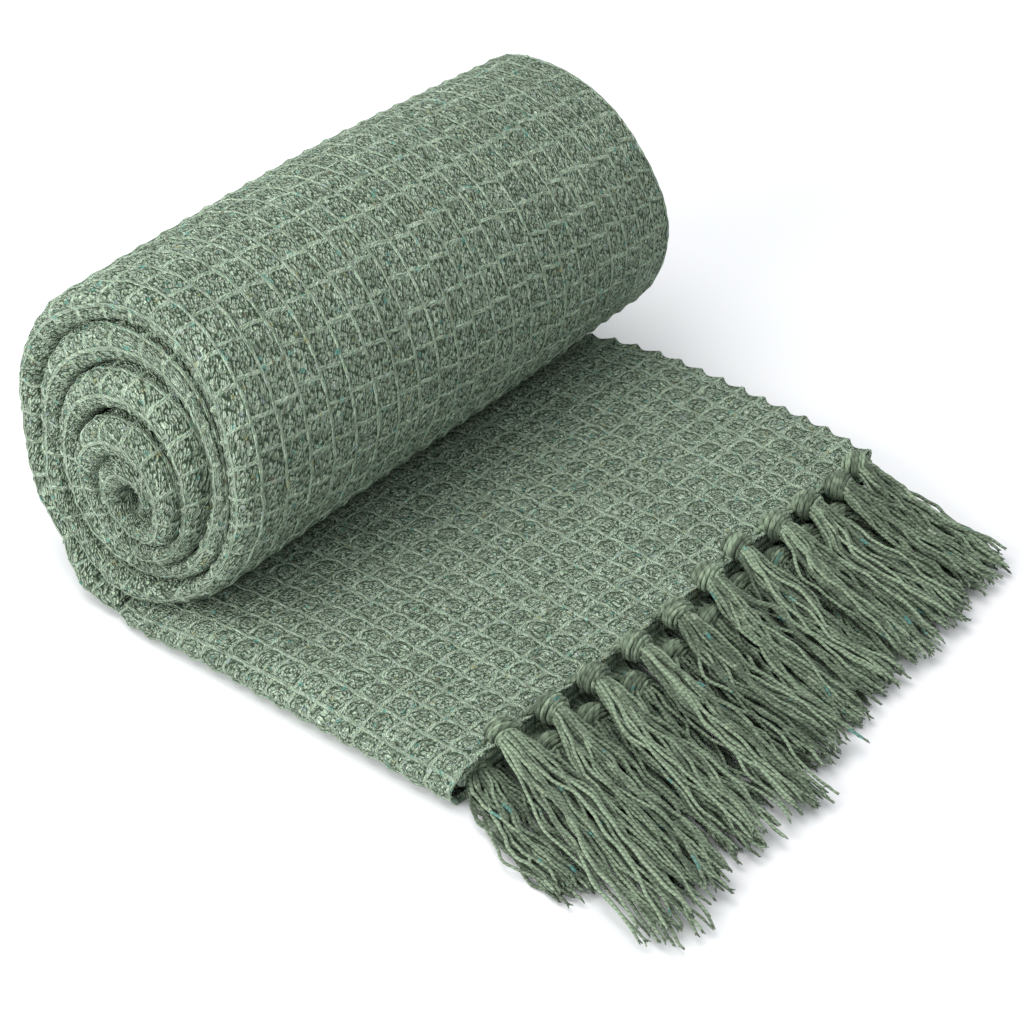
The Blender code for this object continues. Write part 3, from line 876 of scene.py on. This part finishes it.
def yarn_material(name, tint, twist_bump):
    """Two-ply cotton yarn: a groove winding between the plies, painted dark as painted shade, with
    the plies' crowns painted a little paler as painted light, fine fibres, a tone of its own for
    each strand, and stretches of other colours where dyed scraps were spun in."""
    shader, wire, material = new_material(name, 0.93, 0.2)
    place = wire.node("UVMap", {"uv_map": "weave"})
    around = wire.node("SeparateXYZ", {}, {0: place})
    along = around.output(1)
    number = around.math("FLOOR")
    lobe = abs((around * 2.0 - along).sine(0.5)) ** 0.7
    spot = wire.node("TexCoord", out=3)
    fibre = wire.node("TexNoise", {}, {"Vector": spot, "Scale": 1400.0, "Detail": 1.0})
    mottle = wire.node("TexNoise", {}, {"Vector": spot, "Scale": 190.0, "Detail": 1.0})
    own = wire.node("TexWhiteNoise", {"noise_dimensions": "1D"}, {"W": number})
    # The plies' crowns are painted a little paler as painted light.
    shade = own * 0.65 + mottle * 0.85 + fibre * 0.5 + lobe * 0.20 - 0.65
    pale = tuple(1.65 * t for t in tint) + (1.0,)
    deep = tuple(0.42 * t for t in tint) + (1.0,)
    dark = tuple(0.22 * t for t in tint) + (1.0,)
    colour = shade.ramp(0.0, 1.0).mix(deep, pale)
    # Painted shade darkens the groove between the plies.
    colour = (lobe.ramp(0.50, 0.0) * 0.48).mix(colour, dark)
    stretch = wire.node(
        "CombineXYZ", {}, {0: number * 7.31, 1: along * 0.45, 2: 0.0}
    )
    spots = wire.node("TexVoronoi", {"voronoi_dimensions": "2D"}, {"Vector": stretch, "Scale": 1.0})
    kind = wire.node("SeparateColor", {}, {0: spots.output(1)})
    pick = kind.output(1)
    teal = pick.ramp(0.49, 0.51).mix((0.04, 0.24, 0.24, 1.0), (0.36, 0.42, 0.30, 1.0))
    colour = (kind.ramp(0.975, 0.985) * 0.5).mix(colour, teal)
    height = lobe * 1.0 + fibre * 0.35
    bump = wire.node("Bump", {}, {"Height": height, "Strength": 0.8, "Distance": twist_bump})
    wire.tree.links.new(colour.socket, shader.inputs["Base Color"])
    wire.tree.links.new(bump.socket, shader.inputs["Normal"])
    return material


fringe_material = yarn_material("fringe_yarn_cotton", (0.160, 0.206, 0.141), 0.0006)
UP = np.array([0.0, 0.0, 1.0])


def row_frame(knots, tips):
    """Middles of the knots, the tips, and the unit vectors ahead of and beside each tassel."""
    knots = np.array(knots) + (FRINGE_X + KNOT_SHIFT[0], SIDE_SHIFT + KNOT_SHIFT[1], 0.0)
    tips = np.array(tips) + (FRINGE_X + TIP_SHIFT[0], SIDE_SHIFT + TIP_SHIFT[1])
    ahead = np.zeros_like(knots)
    ahead[:, :2] = unit(tips - knots[:, :2])
    beside = np.cross(UP, ahead)
    return knots, tips, ahead, beside


def knot_yarns(knots, ahead, beside, number):
    """A ball of yarn: closed rings side by side, cut by parallel planes aslant to the tassel."""
    draw = np.random.default_rng(number)
    theta = np.arange(KNOT_POINTS) * 2 * np.pi / KNOT_POINTS
    k = np.linspace(-0.88, 0.88, KNOT_TURNS)[None, :, None]
    round_about = np.sqrt(1 - k**2)
    lean = KNOT_LEAN + 0.22 * draw.standard_normal((len(knots), 1, 1))
    lean = lean + 0.07 * draw.standard_normal((len(knots), KNOT_TURNS, 1))
    size = draw.uniform(0.93, 1.07, (3, len(knots), KNOT_TURNS, 1)) ** 0.7
    size = size * draw.uniform(0.94, 1.06, (3, len(knots), 1, 1))
    forward = k * np.cos(lean) + round_about * np.cos(theta) * np.sin(lean)
    across = k * np.sin(lean) - round_about * np.cos(theta) * np.cos(lean)
    rise = np.broadcast_to(round_about * np.sin(theta), forward.shape)
    paths = (
        knots[:, None, None]
        + (KNOT_HALF[0] * size[0] * forward)[..., None] * ahead[:, None, None]
        + (KNOT_HALF[1] * size[1] * across)[..., None] * beside[:, None, None]
        + (KNOT_HALF[2] * size[2] * rise)[..., None] * UP
    )
    along = np.cos(lean)[..., None] * ahead[:, None, None]
    along = along + np.sin(lean)[..., None] * beside[:, None, None]
    reference = np.broadcast_to(along, paths.shape).reshape(-1, KNOT_POINTS, 3)
    paths = paths.reshape(-1, KNOT_POINTS, 3)
    paths[..., 2] = np.maximum(paths[..., 2], LOWEST)
    radius = np.full(paths.shape[:2], KNOT_YARN)
    return tube_set(paths, radius, 6, reference, number, 1.7 * TWIST_PITCH, closed=True)


def leg_yarns(knots, ahead, beside, height, number):
    """Yarns from the end of the cloth, fanned over a tassel's share of it, drawn into the knot."""
    draw = np.random.default_rng(number)
    half = np.linspace(0.10, 1.0, 9)
    offsets = np.concatenate([-half[::-1], half])
    count = len(offsets)
    s = np.linspace(0, 1, LEG_RINGS)
    start = np.zeros((len(knots), count, 3))
    start[..., 0] = END_X - 0.005
    start[..., 1] = knots[:, None, 1] + offsets * LEG_REACH - 0.0010
    start[..., 2] = height + 0.0006 * draw.standard_normal((len(knots), count))
    end = (
        knots[:, None]
        - 0.002 * ahead[:, None]
        + (offsets * 0.0036)[None, :, None] * beside[:, None]
        + 0.0016 * draw.standard_normal((len(knots), count, 1)) * UP
    )
    drawn_in = s**0.75
    bow = 0.001 * draw.standard_normal((len(knots), count, 1, 1))
    bow = np.sin(np.pi * s)[None, None, :, None] * bow
    paths = start[:, :, None] + (end - start)[:, :, None] * s[:, None] + bow * UP
    paths[..., 1] = start[:, :, None, 1] + (end - start)[:, :, None, 1] * drawn_in
    paths = paths.reshape(-1, LEG_RINGS, 3)
    paths[..., 2] = np.maximum(paths[..., 2], LOWEST)
    radius = np.full(paths.shape[:2], LEG_YARN)
    return tube_set(paths, radius, 6, UP, number)


def strand_yarns(knots, tips, ahead, beside, fullness, columns, number):
    """Strands from a knot to their cut ends. Each keeps its place in an oval that widens along the
    tassel, strays from it by slow waves, and is kinked a little; then frayed tips."""
    draw = np.random.default_rng(number)
    tassels = len(knots)
    s = np.linspace(0, 1, STRAND_RINGS)
    wide, high, middle = (np.interp(s, SPREAD[0], SPREAD[n]) for n in columns)
    k = (np.arange(STRANDS) + 0.5) / STRANDS
    lock = np.arange(STRANDS) * LOCKS // STRANDS
    angle = 2.39996 * np.arange(STRANDS) + draw.uniform(0, 6, (tassels, 1))
    a = np.sqrt(k) * np.cos(angle)
    b = np.sqrt(k) * np.sin(angle)
    reach = draw.uniform(0.87, 0.99, (tassels, STRANDS)) + 0.05 * (b < 0)
    share = s[None, None] * reach[..., None]
    waves = 0.0
    for cycles, strength in ((0.7, 1.0), (1.6, 0.6), (3.1, 0.3)):
        for count, part in ((LOCKS, 0.8), (STRANDS, 0.55)):
            phase = draw.uniform(0, 2 * np.pi, (2, tassels, count, 1))
            turns = cycles * draw.uniform(0.8, 1.25, (2, tassels, count, 1))
            wave = part * strength * (np.sin(2 * np.pi * turns * s + phase) - np.sin(phase))
            waves = waves + (wave[:, :, lock] if count == LOCKS else wave)
    free = np.clip(s / 0.35, 0, 1) ** 1.5
    kink = 0.00035 * np.sin(
        2 * np.pi * draw.uniform(5, 9, (tassels, STRANDS, 1)) * s
        + draw.uniform(0, 6, (tassels, STRANDS, 1))
    )
    across = a[..., None] * wide * fullness[:, None, None] + free * (0.0032 * waves[0]) + kink
    rise = b[..., None] * high + free * 0.0009 * waves[1]
    start = knots + 0.003 * ahead
    route = start[:, None, None, :2] + share[..., None] * (tips - start[:, :2])[:, None, None]
    bow = 0.004 * draw.standard_normal((tassels, 1, 1)) * np.sin(np.pi * s)
    route = route + (across + bow)[..., None] * beside[:, None, None, :2]
    base = knots[:, 2][:, None, None] + (middle - middle[0])
    z = np.maximum(base + rise, STRAND_RADIUS + 0.0002)
    paths = np.concatenate([route, z[..., None]], axis=-1).reshape(-1, STRAND_RINGS, 3)
    taper = np.where(s > 0.985, 0.7, 1.0) * (1 - 0.08 * s)
    radius = STRAND_RADIUS * taper * draw.uniform(0.85, 1.15, (len(paths), 1))
    strands = tube_set(paths, radius, STRAND_SIDES, UP, number)
    tip = paths[:, -1]
    run = unit(tip - paths[:, -3])
    frays = 3
    side = np.cross(run, UP)
    t = np.linspace(0, 1, 4)[None, None, :, None]
    swing = draw.standard_normal((2, len(paths), frays, 1, 1))
    long = draw.uniform(0.0020, 0.0042, (len(paths), frays, 1, 1))
    fray = (
        (tip - 0.0015 * run)[:, None, None]
        + long * t * run[:, None, None]
        + long * t**1.5 * 0.24 * swing[0] * side[:, None, None]
        + long * t**1.5 * 0.12 * swing[1] * UP
    ).reshape(-1, 4, 3)
    fray[..., 2] = np.maximum(fray[..., 2], 0.0005)
    thin = np.broadcast_to(np.array([0.0006, 0.0006, 0.0005, 0.0003]), fray.shape[:2])
    return [strands, tube_set(fray, thin, 3, UP, number + 5000)]


def under_yarns(knots, tips, number):
    """Yarns of the layers beneath, lying on the floor side by side under both rows: each runs out
    from the cloth's end towards the tassels' tips and stops short of them."""
    draw = np.random.default_rng(number)
    y = np.linspace(knots[0, 1] + 0.002, knots[-1, 1] + 0.008, UNDER_COUNT)[:, None]
    s = np.linspace(0, 1, 12)
    tip_x = np.interp(y, knots[:, 1], tips[:, 0])
    drift = np.interp(y, knots[:, 1], tips[:, 1] - knots[:, 1])
    share = s * draw.uniform(0.62, 0.80, y.shape)
    cycles = draw.uniform(0.8, 2, y.shape)
    phase = draw.uniform(0, 6, y.shape)
    wave = 0.0025 * np.sin(2 * np.pi * cycles * s + phase)
    x = END_X - 0.006 + share * (tip_x - END_X + 0.006)
    z = np.broadcast_to(draw.uniform(0.0012, 0.0036, y.shape), share.shape)
    paths = np.stack([x, y + share * drift + wave * s, z], axis=-1)
    return tube_set(paths, np.full(share.shape, UNDER_YARN), UNDER_SIDES, UP, number)


for row, knots, tips, columns, fullness, height, number in (
    ("upper", UPPER_KNOTS, UPPER_TIPS, (1, 2, 4), np.array(UPPER_FULLNESS), 0.0195, 100),
    ("lower", LOWER_KNOTS, LOWER_TIPS, (5, 2, 3), np.array(LOWER_FULLNESS), 0.0070, 700),
):
    knots, tips, ahead, beside = row_frame(knots, tips)
    parts = [
        knot_yarns(knots, ahead, beside, number),
        leg_yarns(knots, ahead, beside, height, number + 200),
    ]
    parts += strand_yarns(knots, tips, ahead, beside, fullness, columns, number + 400)
    if row == "lower":
        parts.append(under_yarns(knots, tips, number + 300))
    points, faces, weave = gathered(parts)
    add_piece(
        "fringe_" + row + "_tassels", points, faces, weave, fringe_material,
        "fringe_" + row,
    )
